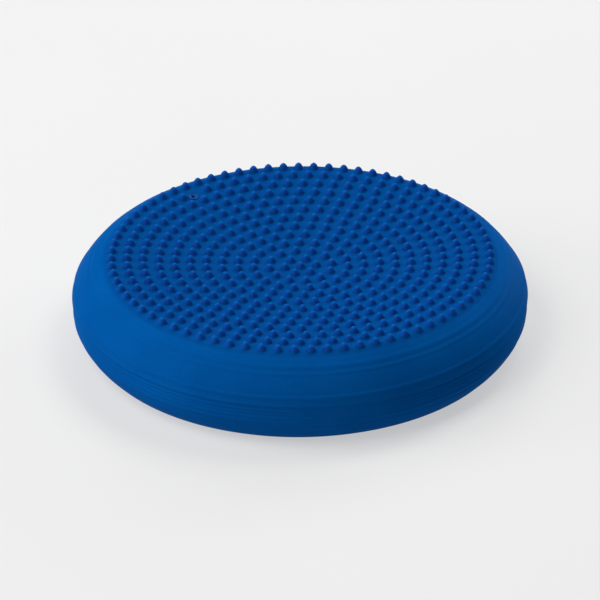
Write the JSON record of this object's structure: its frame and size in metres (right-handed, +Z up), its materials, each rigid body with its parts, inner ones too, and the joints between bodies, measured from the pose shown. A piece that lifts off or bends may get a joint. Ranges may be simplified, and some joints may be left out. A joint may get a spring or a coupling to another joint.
{
  "type": "inflatable balance cushion",
  "caption": "Round air-filled soft PVC balance cushion with a dished nubbed top face, rounded ribbed rim and a needle valve.",
  "frame": {"origin": "centre of the flat ring under the base face that the cushion rests on, at floor level", "axes": "+Z up along the disc's axis, from the resting face to the nubbed face; the valve lies in the -X +Y quarter, 130 degrees from +X"},
  "size_m": [0.33, 0.33, 0.0687],
  "materials": {
    "vinyl": "satin soft PVC, blue",
    "valve_vinyl": "satin soft PVC, blue",
    "valve_rubber": "matt rubber"
  },
  "bodies": {
    "base": {"base_face": "vinyl"},
    "lower_rim": {"lower_wall": "vinyl"},
    "upper_rim": {"upper_wall": "vinyl"},
    "top": {"top_face": "vinyl", "valve_body": "valve_vinyl", "valve_core": "valve_rubber"}
  },
  "joints": [
    {"name": "tilt_x", "type": "hinge", "parent": "base", "child": "lower_rim", "pos_m": [0, 0, 0.0318], "axis": [1, 0, 0], "range_deg": [-5, 5], "stiffness_Nm_per_rad": 250, "deforming": ["lower_wall"]},
    {"name": "sink", "type": "slide", "parent": "lower_rim", "child": "upper_rim", "axis": [0, 0, 1], "range_m": [-0.008, 0], "stiffness_N_per_m": 40000, "deforming": ["upper_wall"]},
    {"name": "tilt_y", "type": "hinge", "parent": "upper_rim", "child": "top", "pos_m": [0, 0, 0.0318], "axis": [0, 1, 0], "range_deg": [-5, 5], "stiffness_Nm_per_rad": 250}
  ]
}
